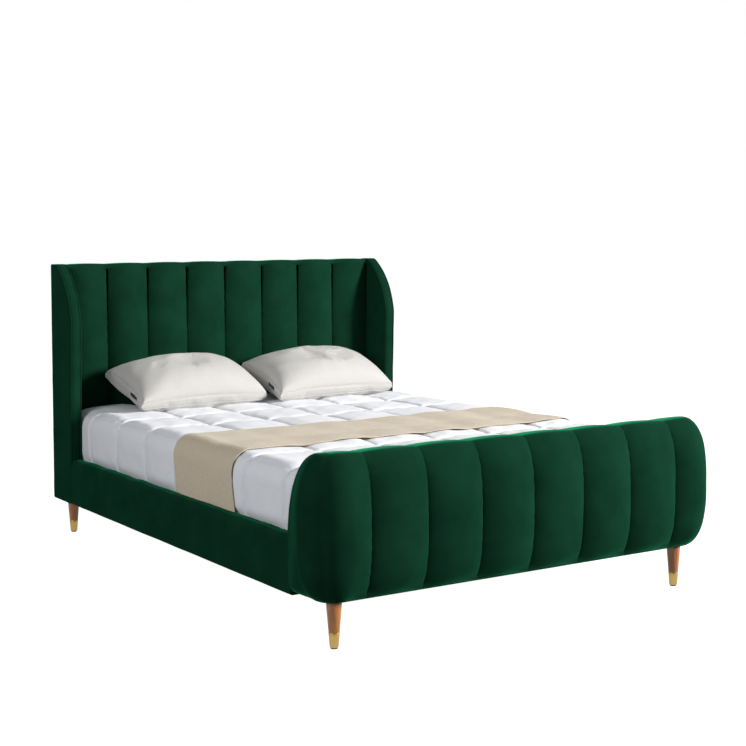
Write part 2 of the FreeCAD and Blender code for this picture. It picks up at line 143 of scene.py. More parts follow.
def surface(points, wrap_rows=False, wrap_columns=True, caps=True, uv=None):
    """Vertices, quads, triangles and UV of a grid; caps fans its first and last rows to their middles."""
    rows, columns = points.shape[:2]
    vertices = points.reshape(-1, 3)
    quads = grid_faces(rows, columns, wrap_rows, wrap_columns)
    triangles = np.empty((0, 3), int)
    if caps:
        count = len(vertices)
        vertices = np.vstack([vertices, points[0].mean(0), points[-1].mean(0)])
        j = np.arange(columns)
        step, last = (j + 1) % columns, (rows - 1) * columns
        first_fan = np.stack([step, j, np.full(columns, count)], -1)
        last_fan = np.stack([last + j, last + step, np.full(columns, count + 1)], -1)
        triangles = np.vstack([first_fan, last_fan])
    return vertices, quads, triangles, None if uv is None else uv.reshape(-1, 2)


def add_piece(name, surfaces, finish, body, nodes=(), sharp=40):
    """Piece from closed surfaces: doubles merged, faces outward, smooth but for edges over sharp degrees."""
    vertices, faces, uvs, base = [], [], [], 0
    for points, quads, triangles, uv in surfaces:
        vertices.append(points)
        faces += (quads + base).tolist() + (triangles + base).tolist()
        uvs.append(uv if uv is not None else np.zeros((len(points), 2)))
        base += len(points)
    mesh = bpy.data.meshes.new(name)
    mesh.from_pydata(np.vstack(vertices).tolist(), [], faces)
    if any(uv is not None for *_, uv in surfaces):
        layer = mesh.uv_layers.new(name="Cloth")
        corners = np.empty(len(mesh.loops), int)
        mesh.loops.foreach_get("vertex_index", corners)
        layer.data.foreach_set("uv", np.vstack(uvs)[corners].ravel())
    work = bmesh.new()
    work.from_mesh(mesh)
    bmesh.ops.remove_doubles(work, verts=work.verts, dist=2e-6)
    bmesh.ops.dissolve_degenerate(work, edges=work.edges, dist=1e-7)
    bmesh.ops.recalc_face_normals(work, faces=work.faces)
    work.to_mesh(mesh)
    work.free()
    mesh.shade_smooth()
    mesh.set_sharp_from_angle(angle=math.radians(sharp))
    mesh.materials.append(FINISHES[finish])
    piece = bpy.data.objects.new(name, mesh)
    bpy.context.scene.collection.objects.link(piece)
    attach(piece, body)
    if nodes:
        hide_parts(*nodes)
    return piece


def at_depth(x, depth, z):
    """Points from breadth, distance from the wall face, and height."""
    x, depth, z = np.broadcast_arrays(x, depth, z)
    return np.stack([x, WALL_Y - depth, z], -1)


def lathe(profile, x, y, segments=48):
    """Profile of (radius, height) pairs turned round an upright line; closed at both ends."""
    radius, height = np.array(profile, float).T
    turn = np.linspace(0, 2 * np.pi, segments, endpoint=False)
    ring = [x + radius[:, None] * np.cos(turn), y + radius[:, None] * np.sin(turn)]
    return surface(np.stack([*ring, np.broadcast_to(height[:, None], ring[0].shape)], -1))


def tube(path, radius, segments=8):
    """Circle carried along a closed path; its frame is the path's run, a side square to it, and a rise."""
    run = np.roll(path, -1, 0) - np.roll(path, 1, 0)
    run /= np.linalg.norm(run, axis=1, keepdims=True)
    side = np.cross(run, [0.02, 0.03, 1.0])
    side /= np.linalg.norm(side, axis=1, keepdims=True)
    rise = np.cross(side, run)
    turn = np.linspace(0, 2 * np.pi, segments, endpoint=False)[None, :, None]
    ring = path[:, None] + radius * (np.cos(turn) * side[:, None] + np.sin(turn) * rise[:, None])
    return surface(ring, wrap_rows=True, caps=False)


# ---- Finishes


def linear(code):
    """sRGB hex value as the linear colour that a shader takes."""
    srgb = np.array([int(code[k : k + 2], 16) for k in (1, 3, 5)]) / 255
    rgb = np.where(srgb <= 0.04045, srgb / 12.92, ((srgb + 0.055) / 1.055) ** 2.4)
    return (*rgb.tolist(), 1.0)


def add_node(tree, kind, inputs=(), **settings):
    """Adds a node with its settings; each input is a value, or the socket that feeds it."""
    node = tree.nodes.new(kind)
    for key, value in settings.items():
        setattr(node, key, value)
    for key, value in dict(inputs).items():
        if isinstance(value, bpy.types.NodeSocket):
            tree.links.new(value, node.inputs[key])
        else:
            node.inputs[key].default_value = value
    return node


def start_finish(name, roughness, **values):
    """Material with its shader's own values set, and the object's coordinates for its patterns."""
    material = bpy.data.materials.new(name)
    material.use_nodes = True
    tree = material.node_tree
    shader = tree.nodes["Principled BSDF"]
    shader.inputs["Roughness"].default_value = roughness
    for key, value in values.items():
        shader.inputs[key.replace("_", " ")].default_value = value
    place = add_node(tree, "ShaderNodeTexCoord").outputs["Object"]
    return material, tree, shader, place


def feed_shader(tree, shader, tone, low, high, height, strength, depth):
    """Feeds a shader its base colour, low to high by tone, and its relief, depth metres at strength 1."""
    mix = add_node(
        tree, "ShaderNodeMix", {0: tone, 6: linear(low), 7: linear(high)}, data_type="RGBA"
    )
    bump = add_node(
        tree, "ShaderNodeBump", {"Height": height, "Strength": strength, "Distance": depth}
    )
    tree.links.new(mix.outputs[2], shader.inputs["Base Color"])
    tree.links.new(bump.outputs["Normal"], shader.inputs["Normal"])


def velvet_finish(colours):
    """Polyester velvet, woven and cut to a 1.5 mm pile: dark where one looks into it, pale edge on."""
    material, tree, shader, place = start_finish(
        "cut_pile_velvet",
        0.82,
        Sheen_Weight=0.85,
        Sheen_Roughness=0.32,
        Sheen_Tint=linear(colours.velvet_sheen),
        Specular_IOR_Level=0.0,
    )
    # Strokes of the hand leave patches of nap some 125 mm across.
    nap = add_node(
        tree,
        "ShaderNodeTexNoise",
        {"Vector": place, "Scale": 1 / 0.125, "Detail": 3.0, "Roughness": 0.55},
    )
    tone = add_node(
        tree,
        "ShaderNodeMapRange",
        {"Value": nap.outputs["Fac"], "From Min": 0.3, "From Max": 0.7},
    )
    # Tufts are 0.3 mm apart; drawn at 1.2 mm so that they show.
    tuft = add_node(
        tree, "ShaderNodeTexNoise", {"Vector": place, "Scale": 1 / 0.0012, "Detail": 2.0}
    )
    feed_shader(
        tree, shader, tone.outputs["Result"], colours.velvet_low, colours.velvet_high,
        tuft.outputs["Fac"], 0.35, 0.0006,
    )
    return material


def cloth_finish(name, low, high, pitch, strength):
    """Plain-woven or knitted cloth: two sets of threads at right angles, and uneven dye along them."""
    material, tree, shader, place = start_finish(
        name, 0.9, Sheen_Weight=0.15, Sheen_Roughness=0.5, Specular_IOR_Level=0.2
    )
    threads = []
    # Object Z is folded into X, so that the threads carry on down the drops.
    for direction in ((1.0, 0.0, 0.9), (0.0, 1.0, 0.0)):
        along = add_node(
            tree, "ShaderNodeVectorMath", {0: place, 1: direction}, operation="DOT_PRODUCT"
        )
        turn = add_node(
            tree,
            "ShaderNodeMath",
            {0: along.outputs["Value"], 1: 2 * math.pi / pitch},
            operation="MULTIPLY",
        )
        wave = add_node(tree, "ShaderNodeMath", {0: turn.outputs[0]}, operation="SINE")
        threads.append(wave.outputs[0])
    weave = add_node(
        tree, "ShaderNodeMath", {0: threads[0], 1: threads[1]}, operation="MULTIPLY"
    )
    # Slubs are about three threads across.
    slub = add_node(
        tree, "ShaderNodeTexNoise", {"Vector": place, "Scale": 0.35 / pitch, "Detail": 5.0}
    )
    height = add_node(
        tree,
        "ShaderNodeMath",
        {0: weave.outputs[0], 1: 0.35, 2: slub.outputs["Fac"]},
        operation="MULTIPLY_ADD",
    )
    tone = slub.outputs["Fac"]
    feed_shader(tree, shader, tone, low, high, height.outputs[0], strength, pitch * 0.25)
    return material


def grained_finish(name, low, high, grain, roughness, wood=False, **values):
    """Wood, metal or plastic: noise drawn out to its grain's size along X, Y and Z in metres."""
    material, tree, shader, place = start_finish(name, roughness, **values)
    # Growth rings wander and stand out; scratches and moulded texture hardly do.
    detail, wander, edge, strength, depth = (
        (6.0, 1.2, 0.3, 0.15, 0.0004) if wood else (4.0, 0.0, 0.0, 0.12, 0.0002)
    )
    drawn = add_node(
        tree, "ShaderNodeMapping", {"Vector": place, "Scale": [1 / size for size in grain]}
    )
    figure = add_node(
        tree,
        "ShaderNodeTexNoise",
        {"Vector": drawn.outputs[0], "Scale": 1.0, "Detail": detail, "Distortion": wander},
    )
    height = figure.outputs["Fac"]
    tone = add_node(
        tree, "ShaderNodeMapRange", {"Value": height, "From Min": edge, "From Max": 1 - edge}
    )
    feed_shader(tree, shader, tone.outputs["Result"], low, high, height, strength, depth)
    return material


def make_finishes(colours):
    """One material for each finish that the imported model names."""
    FINISHES.update(
        velvet=velvet_finish(colours),
        # Spun polypropylene sheet: near black and quite matt. Its fibres are drawn at 4 mm.
        dust_cloth=cloth_finish("spun_dust_cloth", "#17171a", "#232327", 0.004, 0.3),
        # Planed softwood: pale, matt, with long straight rings.
        pine=grained_finish(
            "planed_pine", "#b98d55", "#dcbb85", (0.0167, 0.333, 0.0167), 0.6, wood=True
        ),
        # Rotary-cut veneer, sanded: broad pale figure, and fine layers up the edges.
        plywood=grained_finish(
            "sanded_birch_ply", "#bd9761", "#dcc093", (0.111, 0.111, 0.0083), 0.6, wood=True
        ),
        # Bright zinc on pressed steel: grey, half shiny, with spangles of 11 mm.
        zinc_steel=grained_finish(
            "zinc_plated_steel", "#8d9094", "#b4b7ba", (0.0111,) * 3, 0.38, Metallic=1.0
        ),
        # Turned beech under a satin varnish: warm brown, with a soft highlight over the grain.
        leg_wood=grained_finish(
            "varnished_beech", "#733c09", "#b06a12", (0.0143, 0.0143, 0.143), 0.38, wood=True,
            Coat_Weight=0.18, Coat_Roughness=0.25,
        ),
        # Spun brass cup, brushed round: yellow, and streaked every 0.7 mm up its height.
        brass_tip=grained_finish(
            "brushed_brass", "#937844", "#b59a62", (0.0333, 0.0333, 0.0007), 0.3, Metallic=1.0
        ),
        # Moulded plastic: black, half matt, with a 2.5 mm texture.
        black_plastic=grained_finish(
            "moulded_polypropylene", "#0f0f10", "#1b1b1c", (0.0025,) * 3, 0.5
        ),
        # The cloths from here on have threads of 0.3 to 0.8 mm, drawn wider so that they show.
        # Knitted polyester over foam: off-white and matt.
        mattress_cloth=cloth_finish("knitted_ticking", "#e4e4e2", "#f1f1ef", 0.003, 0.5),
        # Washed cotton with a little blue in its white: matt, faintly uneven.
        quilt_cotton=cloth_finish(
            "washed_cotton", colours.quilt_low, colours.quilt_high, 0.0022, 0.35
        ),
        # Heavy linen: beige, with slubs that one sees from near by.
        runner_weave=cloth_finish(
            "linen_weave", colours.runner_low, colours.runner_high, 0.0034, 0.7
        ),
        # Close-woven percale: a smooth warm white.
        pillow_cotton=cloth_finish(
            "cotton_percale", colours.pillow_low, colours.pillow_high, 0.0022, 0.4
        ),
    )


# ---- What a user may change


class BedSizes(bpy.types.PropertyGroup):
    """Sizes of the soft pieces, in metres."""

    head_puff: bpy.props.FloatProperty(
        name="Headboard puff", description="Depth of the headboard seams", default=0.034, unit="LENGTH"
    )
    foot_puff: bpy.props.FloatProperty(
        name="Footboard puff", description="Depth of the footboard seams", default=0.027, unit="LENGTH"
    )
    rail_round: bpy.props.FloatProperty(
        name="Rail edge", description="Radius of the rail's outer top edge", default=0.022, unit="LENGTH"
    )
    quilt_loft: bpy.props.FloatProperty(
        name="Quilt loft", description="Rise of a quilt box over its seams", default=0.023, unit="LENGTH"
    )
    quilt_box_x: bpy.props.FloatProperty(
        name="Quilt box width", description="Column seams, centre to centre", default=0.264, unit="LENGTH"
    )
    quilt_box_y: bpy.props.FloatProperty(
        name="Quilt box length", description="Row seams, centre to centre", default=0.2825, unit="LENGTH"
    )
    pillow_fill: bpy.props.FloatProperty(
        name="Pillow fill", description="From slack to tight", default=0.6, subtype="FACTOR"
    )


class BedColours(bpy.types.PropertyGroup):
    """Colours of the cloths, as sRGB hex values."""

    velvet_low: bpy.props.StringProperty(name="Velvet, dark", description="Into the pile", default="#0d2c1f")
    velvet_high: bpy.props.StringProperty(name="Velvet, pale", description="With the pile", default="#113526")
    velvet_sheen: bpy.props.StringProperty(name="Velvet sheen", description="Pile edge on", default="#2f9a6c")
    quilt_low: bpy.props.StringProperty(name="Quilt, dark", description="Between threads", default="#dfe1e6")
    quilt_high: bpy.props.StringProperty(name="Quilt, pale", description="On threads", default="#eceef3")
    runner_low: bpy.props.StringProperty(name="Runner, dark", description="Between threads", default="#c0b199")
    runner_high: bpy.props.StringProperty(name="Runner, pale", description="On threads", default="#dacdb8")
    pillow_low: bpy.props.StringProperty(name="Pillow, dark", description="Between threads", default="#b1afac")
    pillow_high: bpy.props.StringProperty(name="Pillow, pale", description="On threads", default="#c0beba")


# ---- Stage


def aim(back, roll):
    """Rotation that looks along -back, turned about that line by roll."""
    back = Vector(back).normalized()
    right = Vector((-back.y, back.x, 0)).normalized()
    up = back.cross(right)
    turned = right * math.cos(roll) + up * math.sin(roll)
    return Matrix((turned, back.cross(turned), back)).transposed().to_4x4()


def add_lamp(name, place, target, size, power, colour):
    """Square soft box that faces its target."""
    lamp = bpy.data.objects.new(name, bpy.data.lights.new(name, "AREA"))
    lamp.data.size, lamp.data.energy, lamp.data.color = size, power, colour
    lamp.matrix_world = Matrix.Translation(place) @ aim(Vector(place) - Vector(target), 0)
    bpy.context.scene.collection.objects.link(lamp)


class BED_OT_stage(bpy.types.Operator):
    """Makes the floor, the soft light and the camera"""

    bl_idname = "bed.stage"
    bl_label = "Stage and camera"

    def execute(self, context):
        scene = context.scene
        scene.view_settings.view_transform = "Standard"
        camera = bpy.data.objects.new("camera", bpy.data.cameras.new("camera"))
        yaw, pitch, roll = (math.radians(angle) for angle in CAMERA_ANGLES)
        back = (math.sin(yaw) * math.cos(pitch), -math.cos(yaw) * math.cos(pitch), math.sin(pitch))
        camera.matrix_world = Matrix.Translation(CAMERA_PLACE) @ aim(back, roll)
        camera.data.lens, camera.data.sensor_width = 71.87, 36
        camera.data.shift_y = -0.0979
        scene.collection.objects.link(camera)
        scene.camera = camera
        half = 30.0
        corners = [(-half, -half, 0), (half, -half, 0), (half, half, 0), (-half, half, 0)]
        mesh = bpy.data.meshes.new("floor")
        mesh.from_pydata(corners, [], [(0, 1, 2, 3)])
        floor = bpy.data.objects.new("floor", mesh)
        # Matt white paint, a little lit from itself, as a studio sweep is; its patches are 1.7 m wide.
        paint, tree, shader, place = start_finish(
            "matt_floor_paint", 0.95, Emission_Color=(1, 1, 1, 1), Emission_Strength=0.98
        )
        patch = add_node(tree, "ShaderNodeTexNoise", {"Vector": place, "Scale": 1 / 1.7})
        tone = patch.outputs["Fac"]
        feed_shader(tree, shader, tone, "#969695", "#9a9a99", tone, 0.02, 0.0002)
        mesh.materials.append(paint)
        scene.collection.objects.link(floor)
        floor.visible_diffuse = False
        world = bpy.data.worlds.new("studio")
        world.use_nodes = True
        scene.world = world
        tree = world.node_tree
        tree.nodes.clear()
        fill = add_node(tree, "ShaderNodeBackground", {"Color": (0.97, 0.98, 1, 1), "Strength": 0.15})
        white = add_node(tree, "ShaderNodeBackground", {"Color": (1, 1, 1, 1), "Strength": 1.0})
        seen = add_node(tree, "ShaderNodeLightPath")
        mix = add_node(
            tree,
            "ShaderNodeMixShader",
            {0: seen.outputs["Is Camera Ray"], 1: fill.outputs[0], 2: white.outputs[0]},
        )
        add_node(tree, "ShaderNodeOutputWorld", {"Surface": mix.outputs[0]})
        add_lamp("key_box", (6.8, -6.5, 3.8), (0, -0.1, 0.7), 2.2, 1850, (1, 0.99, 0.97))
        add_lamp("top_box", (-0.3, 1.5, 5.0), (0, -0.1, 0.5), 3.6, 24, (1, 1, 1))
        add_lamp("side_box", (-5.6, -1.5, 2.5), (-0.8, -0.4, 0.4), 2.4, 135, (0.98, 0.99, 1))
        return {"FINISHED"}


# ---- Velvet


class BED_OT_headboard(bpy.types.Operator):
    """Makes the eight stuffed channels of the headboard"""

    bl_idname = "bed.headboard"
    bl_label = "Headboard channels"

    def execute(self, context):
        deep = context.scene.bed_sizes.head_puff
        # Closed section, as depth and height: front, rolled top, and the return over the timber.
        front, inner, low, top, under = 0.081, 0.044, 0.250, 1.208, 1.190
        ring = rounded_outline(
            [(inner, low), (front, low), (front, top), (0, top), (0, under), (inner, under)],
            [0.003, 0.014, 0.024, 0.005, 0.003, 0.004],
            520,
        )
        normal = outward(ring)
        sink = deep * np.clip(normal[:, 0], 0, 1) + 0.0035 * np.clip(normal[:, 1], 0, 1)
        u = np.sin(np.pi / 2 * np.linspace(-1, 1, 41))[:, None]
        for number in range(1, 9):
            low_corner, high_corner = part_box(f"head_channel_{number}")
            middle, half = (low_corner.x + high_corner.x) / 2, (high_corner.x - low_corner.x) / 2
            drop = sink * (1 - puff(u))
            drop = drop + pulls(ring[:, 1], half * (1 - np.abs(u)), number, 0.0012) * (sink > deep * 0.5)
            drop = drop + 0.0006 * ripple(u * half, ring[:, 1], 40 + number, 0.16) * (sink > deep * 0.5)
            place = ring[None] - drop[..., None] * normal[None]
            points = at_depth(middle + u * half, place[..., 0], place[..., 1])
            name, node = f"headboard_channel_{number}", f"head_channel_{number}"
            piece = add_piece(name, [surface(points)], "velvet", "bed_frame", [node], 70)
        return {"FINISHED"}


def wing_outline(count):
    """Side view of a wing, as depth and height: upright back, raked front, and a sweep back to the top."""
    p, q, r = np.array((0.236, 0.950)), np.array((0.187, 1.085)), np.array((0.062, 1.208))
    lines = 2 * np.array([q - p, r - p])
    centre = np.linalg.solve(lines, [q @ q - p @ p, r @ r - p @ p])
    radius = np.linalg.norm(p - centre)
    ends = [math.atan2(*(point - centre)[::-1]) for point in (p, r)]
    turn = np.linspace(*ends, 40)
    sweep = centre + radius * np.stack([np.cos(turn), np.sin(turn)], -1)
    ring = np.vstack([[(0, UNDER), (0.207, UNDER)], sweep, [(0, 1.208)]])
    ring = resample(ring, count)
    for _ in range(6):
        ring = (np.roll(ring, 1, 0) + 2 * ring + np.roll(ring, -1, 0)) / 4
    return ring


class BED_OT_wings(bpy.types.Operator):
    """Makes the two wings, each a padded slab with piping along both edges of its front band"""

    bl_idname = "bed.wings"
    bl_label = "Headboard wings"

    def execute(self, context):
        ring = wing_outline(640)
        normal = outward(ring)
        centre = np.array((0.105, 0.66))
        # Across the slab, as distance from its inner face and inset: groove, piping, band, piping, groove.
        across = np.array(
            [
                (0.0, 0.018), (0.0004, 0.012), (0.0016, 0.0095), (0.0002, 0.0075), (0.0, 0.0045),
                (0.0014, 0.0014), (0.0040, 0.0004), (0.0064, 0.0014), (0.0078, 0.0034), (0.0096, 0.0016),
                (0.015, 0.0006), (0.025, 0.0), (0.035, 0.0006), (0.0404, 0.0016), (0.0422, 0.0034),
                (0.0436, 0.0014), (0.0460, 0.0004), (0.0486, 0.0014), (0.050, 0.0045), (0.0498, 0.0075),
                (0.0484, 0.0095), (0.0496, 0.012), (0.050, 0.018),
            ]
        )
        face = np.array([0.02, 0.12, 0.25, 0.4, 0.55, 0.7, 0.82, 0.92, 0.97])
        inner_face, thick = 0.795, across[-1, 0]
        for side, sign in SIDES:
            rim = ring[None] - across[:, 1, None, None] * normal[None]
            inside = centre + (rim[0] - centre) * face[:, None, None]
            outside = centre + (rim[-1] - centre) * face[::-1, None, None]
            place = np.concatenate([inside, rim, outside])
            crown = 0.0022 * (1 - face**2)
            x = np.concatenate([crown * 0.4, across[:, 0], thick - 0.4 * crown[::-1]])[:, None]
            wave = ripple(place[..., 0], place[..., 1], 7 + sign, 0.14)
            x = x + 0.0005 * wave * (x > 0.0005) * (x < thick - 0.0005)
            points = at_depth(sign * (inner_face + x), place[..., 0], place[..., 1])
            piece = add_piece(
                f"wing_pad_{side}", [surface(points)], "velvet", "bed_frame", [f"wing_{side}"], 75
            )
        return {"FINISHED"}


class BED_OT_rails(bpy.types.Operator):
    """Makes the two padded side rails, drawn down a little by their stitches"""

    bl_idname = "bed.rails"
    bl_label = "Side rails"

    def execute(self, context):
        # The board's bare inner face, at 0.785, stands 1.5 mm out of the velvet.
        inner, outer, low, top = 0.7865, 0.845, UNDER, 0.355
        ring = rounded_outline(
            [(inner, low), (outer, low), (outer, top), (inner, top)],
            [0.003, 0.008, context.scene.bed_sizes.rail_round, 0.012],
            150,
        )
        normal = outward(ring)
        along = np.linspace(0, 1, 420)[:, None]
        # The head end follows the wing's raked front, the foot end stops at the footboard's back.
        head_end = 0.2075 + (ring[:, 1] - low) * 0.037
        depth = head_end + along * (2.1352 - head_end)
        for side, sign in SIDES:
            soft = smooth(0.27, 0.345, ring[:, 1])
            face = smooth(0.0, 0.6, normal[:, 0])
            drop = 0.0012 * (1 + ripple(depth, ring[:, 1], 21 + sign, 0.22)) * soft
            drop = drop + 0.0006 * (1 + ripple(depth, ring[:, 1], 25 + sign, 0.35)) * face
            place = ring[None] - drop[..., None] * normal[None]
            points = at_depth(sign * place[..., 0], depth, place[..., 1])
            piece = add_piece(
                f"rail_pad_{side}", [surface(points)], "velvet", "bed_frame", [f"rail_cover_{side}"], 60
            )
        return {"FINISHED"}


# Footboard: half its straight front, its corner radius, depths of front path and back, half a channel.
FOOT_FLAT, FOOT_TURN, FOOT_FRONT, FOOT_BACK, FOOT_HALF = 0.756, 0.041, 2.301, 2.1362, 0.112
FOOT_SIDE = FOOT_FRONT - FOOT_TURN - FOOT_BACK
FOOT_BEND = FOOT_TURN * math.pi / 2
FOOT_LENGTH = FOOT_FLAT + FOOT_BEND + FOOT_SIDE


def foot_fall(depth):
    """Drop of the footboard's top from its front to its back: a square law, 33 mm in all."""
    share = np.clip((FOOT_FRONT - depth) / (FOOT_FRONT - FOOT_BACK), 0, 1)
    return 0.033 * share**2


def foot_surface(run, seam_gap, deep, seed):
    """Rolled footboard over a stretch of its plan path, run metres from the middle.

    The path goes straight across the front, round the corner and back along the end. At each
    point the pad stands off it by a superellipse in height, and closes over the top, down the
    flat back and under. Seams sink it along the profile's own normal.
    """
    bend = np.clip(run - FOOT_FLAT, 0, FOOT_BEND) / FOOT_TURN
    along_side = np.clip((run - FOOT_FLAT - FOOT_BEND) / FOOT_SIDE, 0, 1)
    path_x = np.minimum(run, FOOT_FLAT) + FOOT_TURN * np.sin(bend) - 0.027 * along_side
    path_d = FOOT_FRONT - FOOT_TURN * (1 - np.cos(bend)) - FOOT_SIDE * along_side
    out = np.stack([np.sin(bend), np.cos(bend)], -1)
    ease = smooth(0, 1, along_side)[:, None]
    reach, waist = 0.093 - 0.009 * ease, 0.400 - 0.100 * ease
    top, low = (0.647 - foot_fall(path_d))[:, None], UNDER
    turn = np.linspace(-np.pi / 2, np.pi / 2, 72)[None]
    rise = np.sin(turn)
    upper = waist + (top - waist) * np.abs(rise) ** (2 / 2.9)
    lower = waist - (waist - low) * np.abs(rise) ** (2 / (2.9 + 5.0 * ease))
    height = np.where(rise > 0, upper, lower)
    stand = reach * np.clip(np.cos(turn), 0, 1) ** np.where(rise > 0, 1 + 0.25 * ease, 1.0)
    hollow = deep * (1 - puff(np.clip(seam_gap / FOOT_HALF, 0, 1) - 1))[:, None]
    # The end panel is joined at the middle of the corner.
    hollow = hollow + 0.0065 * np.exp(-np.abs(run - FOOT_FLAT - FOOT_BEND / 2) / 0.007)[:, None]
    hollow = hollow + pulls(height, seam_gap[:, None], seed, 0.0011)
    hollow = hollow + 0.0005 * ripple(run[:, None], height, seed + 60, 0.15)
    hollow = hollow * smooth(0, 0.35, 1 - along_side)[:, None]
    # The seams run out before the straight lower edge, and notch the crest only a little.
    stand = stand - hollow * np.cos(turn) ** 0.7 * smooth(-1.0, -0.82, rise)
    height = height - hollow * 0.22 * np.clip(rise, 0, 1)
    roof = height[:, -1:]
    floor = height[:, :1]
    x = path_x[:, None] + out[:, :1] * stand
    d = path_d[:, None] + out[:, 1:] * stand
    # Over the top to the back, down it, and forward again underneath. The back is straight, so
    # there the outer channel is squeezed into the breadth past its seam.
    seam, breadth = 6 * FOOT_HALF, 0.098
    outer_share = (run - seam) / (FOOT_LENGTH - seam)
    target = np.where(run <= seam, run, seam + outer_share * breadth)
    back = np.linspace(0, 1, 16)[1:]
    down = np.linspace(0, 1, 12)[1:-1]
    over_x = path_x[:, None] + (target - path_x)[:, None] * back
    over_d = path_d[:, None] + (FOOT_BACK - path_d)[:, None] * back
    roll = 0.012 * np.clip((back - 0.9) / 0.1, 0, 1) ** 2
    over_z = roof + foot_fall(path_d)[:, None] - foot_fall(over_d) - roll
    behind_z = over_z[:, -1:] + (floor + 0.004 - over_z[:, -1:]) * down
    under_x, under_d = over_x[:, ::-1], over_d[:, ::-1]
    under_z = np.broadcast_to(floor, under_x.shape)
    spread = np.ones((1, len(down)))
    xs = np.concatenate([x, over_x, target[:, None] * spread, under_x], 1)
    ds = np.concatenate([d, over_d, FOOT_BACK * np.ones_like(target)[:, None] * spread, under_d], 1)
    zs = np.concatenate([height, over_z, behind_z, under_z], 1)
    return xs, ds, zs


class BED_OT_footboard(bpy.types.Operator):
    """Makes the eight stuffed channels of the rolled footboard, the outer two round its ends"""

    bl_idname = "bed.footboard"
    bl_label = "Footboard channels"

    def execute(self, context):
        deep = context.scene.bed_sizes.foot_puff
        for number in range(1, 9):
            place = number - 4.5
            sign = 1 if place > 0 else -1
            step = int(abs(place))
            start = step * 2 * FOOT_HALF
            if step < 3:
                run = start + FOOT_HALF * (1 + np.sin(np.pi / 2 * np.linspace(-1, 1, 41)))
                gap = FOOT_HALF - np.abs(run - start - FOOT_HALF)
            else:
                near = start + FOOT_HALF * (1 + np.sin(np.pi / 2 * np.linspace(-1, 0, 21)))
                far = np.linspace(near[-1], FOOT_LENGTH, 50)[1:]
                run = np.concatenate([near, far])
                gap = run - start
            x, d, z = foot_surface(run, gap, deep, 80 + number)
            nodes = [f"foot_channel_{number}"] + (["foot_back_cover"] if number == 4 else [])
            points = at_depth(sign * x, d, z)
            piece = add_piece(
                f"footboard_channel_{number}", [surface(points)], "velvet", "bed_frame", nodes, 70
            )
        return {"FINISHED"}


# ---- Legs and timber


class BED_OT_legs(bpy.types.Operator):
    """Turns the four tapered legs and their metal tips"""

    bl_idname = "bed.legs"
    bl_label = "Legs and tips"

    def execute(self, context):
        tips = []
        for node in ("leg_back_left", "leg_back_right", "leg_front_left", "leg_front_right"):
            low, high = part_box(node)
            x, y = (low.x + high.x) / 2, (low.y + high.y) / 2
            wide, narrow, base = (high.x - low.x) / 2, 0.0145, 0.004
            rate = (wide - narrow) / (high.z - base)
            heights = np.array([0.050, 0.080, 0.110, 0.140, high.z - 0.002])
            profile = [(narrow + rate * (h - base), h) for h in heights]
            profile += [(wide - 0.0015, high.z)]
            add_piece(f"turned_{node}", [lathe(profile, x, y, 64)], "leg_wood", "bed_frame", [node], 50)
            cup = [(narrow - 0.0015, base), (narrow + 0.0002, base + 0.0008)]
            cup += [(narrow + 0.0006, base + 0.002)]
            cup += [(narrow + 0.0006 + rate * (h - base), h) for h in (0.02, 0.035, 0.0535)]
            cup += [(narrow + rate * 0.0505 - 0.0001, 0.055), (narrow + rate * 0.045 - 0.002, 0.0551)]
            tips.append(lathe(cup, x, y, 64))
        add_piece("brass_tips", tips, "brass_tip", "bed_frame", ["leg_ferrules"], 40)
        return {"FINISHED"}


class BED_OT_timber(bpy.types.Operator):
    """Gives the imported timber, steel and plastic their finishes"""

    bl_idname = "bed.timber"
    bl_label = "Timber and fittings"

    def execute(self, context):
        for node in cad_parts.values():
            for holder in node.material_slots:
                if holder.material and holder.material.name.split(".")[0] in FINISHES:
                    holder.material = FINISHES[holder.material.name.split(".")[0]]
        return {"FINISHED"}


# ---- Bedding


